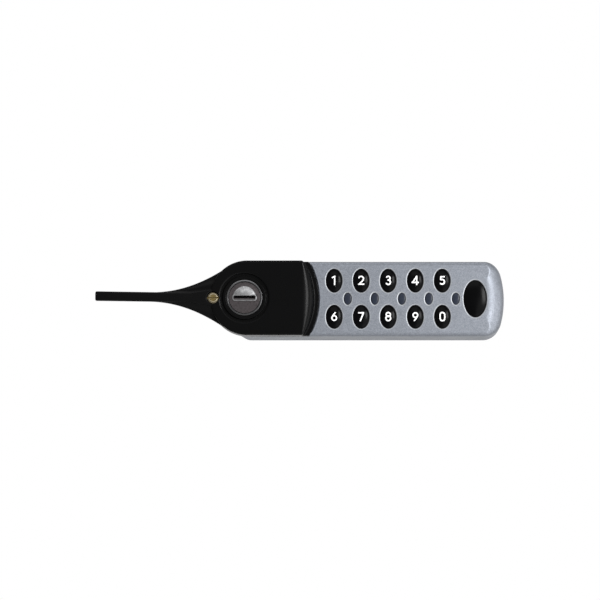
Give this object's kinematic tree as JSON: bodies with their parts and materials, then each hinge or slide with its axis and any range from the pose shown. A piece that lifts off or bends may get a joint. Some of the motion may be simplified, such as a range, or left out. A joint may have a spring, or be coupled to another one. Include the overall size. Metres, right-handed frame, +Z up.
{
  "type": "electronic cabinet lock",
  "caption": "Electronic cabinet lock with a slim silver keypad body, a black turning lever handle, a key override and a cam behind the door.",
  "frame": {"origin": "on the flat back of the lock where it seats on the door, 84 mm from the handle's axis towards the keypad end, on the centre line", "axes": "+X along the body towards the keypad end, +Y from the lock into the door, +Z up the door"},
  "size_m": [0.2068, 0.0708, 0.038],
  "materials": {
    "silver_paint": "fine metallic silver-grey paint, satin",
    "black_paint": "satin black paint on a casting",
    "plated_steel": "zinc-plated steel, satin",
    "zinc_cast": "bare zinc casting, dull",
    "cylinder_face": "dull nickel plating, bright on edges",
    "brass": "bare brass, turned",
    "key_gloss": "gloss black moulding",
    "digit_white": "white inlaid figures",
    "lens_tint": "dark blue-grey tinted light guide, gloss",
    "silicone": "matt silicone",
    "board_green": "green solder resist",
    "white_nylon": "natural nylon",
    "black_plastic": "fine moulded texture",
    "cell_wrap": "plain blue wrap"
  },
  "bodies": {
    "body": {"housing": "silver_paint", "back_plate": "plated_steel", "mounting_sleeve": "zinc_cast", "mounting_nut": "plated_steel", "thrust_washer": "white_nylon", "latch_carrier": "black_plastic", "latch_motor": "plated_steel", "keypad_board": "board_green", "keypad_mat": "silicone", "lens_strip": "lens_tint", "buzzer": "black_plastic", "battery_tray": "black_plastic", "cell_upper": "cell_wrap", "cell_lower": "cell_wrap", "contact_bridge": "plated_steel", "contact_upper": "plated_steel", "contact_lower": "plated_steel", "anchor_stud": "zinc_cast", "plate_screw_near_top": "plated_steel", "plate_screw_near_bottom": "plated_steel", "plate_screw_far_top": "plated_steel", "plate_screw_far_bottom": "plated_steel", "board_screw_1": "plated_steel", "board_screw_2": "plated_steel", "board_screw_3": "plated_steel", "board_screw_4": "plated_steel", "carrier_screw_1": "plated_steel", "carrier_screw_2": "plated_steel", "lamp_1": "white_nylon", "lamp_2": "white_nylon", "lamp_3": "white_nylon", "lamp_4": "white_nylon", "lamp_5": "white_nylon"},
    "turning": {"handle": "black_paint", "cylinder_body": "cylinder_face", "retaining_screw": "brass", "handle_screw": "plated_steel", "spindle": "plated_steel", "spindle_clip": "plated_steel", "lock_disc": "plated_steel", "cam": "plated_steel", "cam_washer": "plated_steel", "cam_screw": "plated_steel"},
    "plug": {"key_plug": "cylinder_face"},
    "bolt": {"latch_bolt": "zinc_cast"},
    "pinion": {"motor_pinion": "brass"},
    "digit_1": {"key_1": "key_gloss"},
    "digit_2": {"key_2": "key_gloss"},
    "digit_3": {"key_3": "key_gloss"},
    "digit_4": {"key_4": "key_gloss"},
    "digit_5": {"key_5": "key_gloss"},
    "digit_6": {"key_6": "key_gloss"},
    "digit_7": {"key_7": "key_gloss"},
    "digit_8": {"key_8": "key_gloss"},
    "digit_9": {"key_9": "key_gloss"},
    "digit_0": {"key_0": "key_gloss"},
    "function": {"function_key": "key_gloss"}
  },
  "joints": [
    {"name": "handle_turn", "type": "hinge", "parent": "body", "child": "turning", "pos_m": [-0.084, 0, 0], "axis": [0, -1, 0], "range_deg": [0, 90]},
    {"name": "key_turn", "type": "hinge", "parent": "turning", "child": "plug", "pos_m": [-0.084, 0, 0], "axis": [0, 1, 0], "range_deg": [0, 90]},
    {"name": "bolt_slide", "type": "slide", "parent": "body", "child": "bolt", "axis": [-1, 0, 0], "range_m": [0, 0.003]},
    {"name": "pinion_turn", "type": "hinge", "parent": "body", "child": "pinion", "pos_m": [-0.057, -0.01135, 0], "axis": [0, 0, 1], "range_deg": [0, 86]},
    {"name": "press_1", "type": "slide", "parent": "body", "child": "digit_1", "axis": [0, 1, 0], "range_m": [0, 0.001], "stiffness_N_per_m": 900},
    {"name": "press_2", "type": "slide", "parent": "body", "child": "digit_2", "axis": [0, 1, 0], "range_m": [0, 0.001], "stiffness_N_per_m": 900},
    {"name": "press_3", "type": "slide", "parent": "body", "child": "digit_3", "axis": [0, 1, 0], "range_m": [0, 0.001], "stiffness_N_per_m": 900},
    {"name": "press_4", "type": "slide", "parent": "body", "child": "digit_4", "axis": [0, 1, 0], "range_m": [0, 0.001], "stiffness_N_per_m": 900},
    {"name": "press_5", "type": "slide", "parent": "body", "child": "digit_5", "axis": [0, 1, 0], "range_m": [0, 0.001], "stiffness_N_per_m": 900},
    {"name": "press_6", "type": "slide", "parent": "body", "child": "digit_6", "axis": [0, 1, 0], "range_m": [0, 0.001], "stiffness_N_per_m": 900},
    {"name": "press_7", "type": "slide", "parent": "body", "child": "digit_7", "axis": [0, 1, 0], "range_m": [0, 0.001], "stiffness_N_per_m": 900},
    {"name": "press_8", "type": "slide", "parent": "body", "child": "digit_8", "axis": [0, 1, 0], "range_m": [0, 0.001], "stiffness_N_per_m": 900},
    {"name": "press_9", "type": "slide", "parent": "body", "child": "digit_9", "axis": [0, 1, 0], "range_m": [0, 0.001], "stiffness_N_per_m": 900},
    {"name": "press_0", "type": "slide", "parent": "body", "child": "digit_0", "axis": [0, 1, 0], "range_m": [0, 0.001], "stiffness_N_per_m": 900},
    {"name": "press_function", "type": "slide", "parent": "body", "child": "function", "axis": [0, 1, 0], "range_m": [0, 0.001], "stiffness_N_per_m": 900}
  ],
  "couplings": [
    {"joint": "pinion_turn", "follows": "bolt_slide", "rad_per_m": 500}
  ]
}
